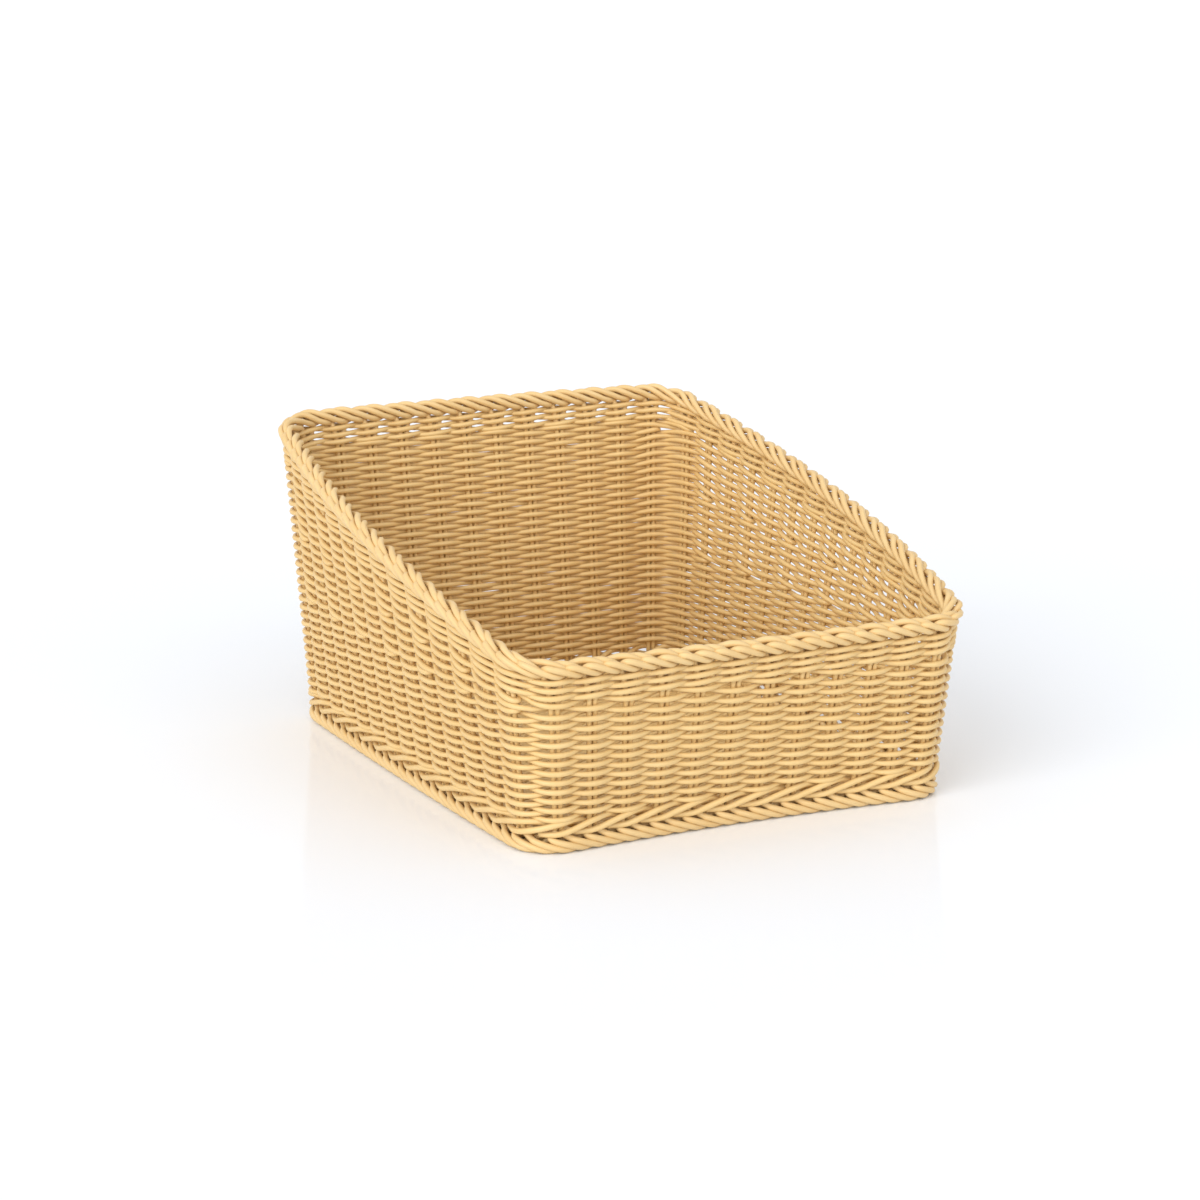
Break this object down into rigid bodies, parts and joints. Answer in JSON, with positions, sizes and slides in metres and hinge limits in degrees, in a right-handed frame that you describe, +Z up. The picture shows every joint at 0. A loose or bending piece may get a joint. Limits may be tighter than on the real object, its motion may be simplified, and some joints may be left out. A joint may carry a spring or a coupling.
{
  "type": "storage basket",
  "caption": "Open storage basket woven from round plastic cane, low at the front and high at the back, with a rolled sloping rim and a rolled foot.",
  "frame": {"origin": "on the floor that the foot border stands on, under the middle of the basket's outer box", "axes": "+X to the basket's right, seen from its low front; +Y from the low front to the tall back; +Z up"},
  "size_m": [0.3432, 0.4051, 0.208],
  "materials": {
    "weaver_cane": "satin",
    "border_cane": "satin",
    "stake_cane": "satin",
    "base_cane": "satin"
  },
  "bodies": {
    "root": {"base_weave": "base_cane", "foot_border": "border_cane", "level_weave": "weaver_cane", "lower_wale": "weaver_cane", "packed_weave": "weaver_cane", "stake_back_01": "stake_cane", "stake_back_02": "stake_cane", "stake_back_03": "stake_cane", "stake_back_04": "stake_cane", "stake_back_05": "stake_cane", "stake_back_06": "stake_cane", "stake_back_07": "stake_cane", "stake_back_08": "stake_cane", "stake_back_09": "stake_cane", "stake_back_10": "stake_cane", "stake_back_11": "stake_cane", "stake_back_12": "stake_cane", "stake_back_13": "stake_cane", "stake_front_01": "stake_cane", "stake_front_02": "stake_cane", "stake_front_03": "stake_cane", "stake_front_04": "stake_cane", "stake_front_05": "stake_cane", "stake_front_06": "stake_cane", "stake_front_07": "stake_cane", "stake_front_08": "stake_cane", "stake_front_09": "stake_cane", "stake_front_10": "stake_cane", "stake_front_11": "stake_cane", "stake_front_12": "stake_cane", "stake_front_13": "stake_cane", "stake_left_01": "stake_cane", "stake_left_02": "stake_cane", "stake_left_03": "stake_cane", "stake_left_04": "stake_cane", "stake_left_05": "stake_cane", "stake_left_06": "stake_cane", "stake_left_07": "stake_cane", "stake_left_08": "stake_cane", "stake_left_09": "stake_cane", "stake_left_10": "stake_cane", "stake_left_11": "stake_cane", "stake_left_12": "stake_cane", "stake_left_13": "stake_cane", "stake_right_01": "stake_cane", "stake_right_02": "stake_cane", "stake_right_03": "stake_cane", "stake_right_04": "stake_cane", "stake_right_05": "stake_cane", "stake_right_06": "stake_cane", "stake_right_07": "stake_cane", "stake_right_08": "stake_cane", "stake_right_09": "stake_cane", "stake_right_10": "stake_cane", "stake_right_11": "stake_cane", "stake_right_12": "stake_cane", "stake_right_13": "stake_cane", "top_border": "border_cane", "upper_wale": "weaver_cane"}
  },
  "joints": []
}
